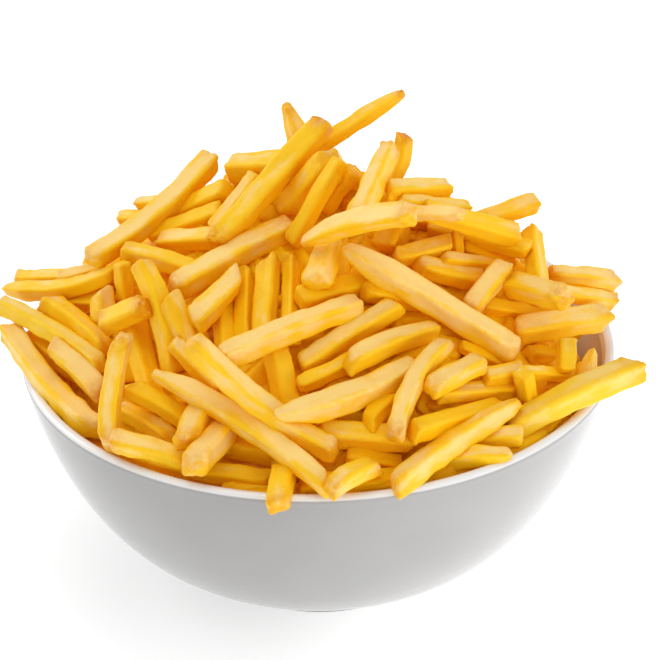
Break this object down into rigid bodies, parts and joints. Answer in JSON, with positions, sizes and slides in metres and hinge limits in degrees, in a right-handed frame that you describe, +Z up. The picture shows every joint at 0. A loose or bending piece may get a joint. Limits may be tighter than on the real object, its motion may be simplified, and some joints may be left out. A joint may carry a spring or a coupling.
{
  "type": "bowl of french fries",
  "caption": "Deep round white porcelain serving bowl heaped with french fries that cross at all angles and overhang the rim; it rests on its flat foot.",
  "frame": {"origin": "centre of the bowl's flat foot, on the surface it stands on", "axes": "+Z up along the bowl's axis, +Y away from the diner, +X to the diner's right"},
  "size_m": [0.2139, 0.206, 0.1683],
  "materials": {
    "porcelain": "white glaze, softly glossy",
    "fries": "fried potato, slightly oily, golden with browned ends"
  },
  "bodies": {
    "root": {"bowl": "porcelain", "fries": "fries"}
  },
  "joints": []
}
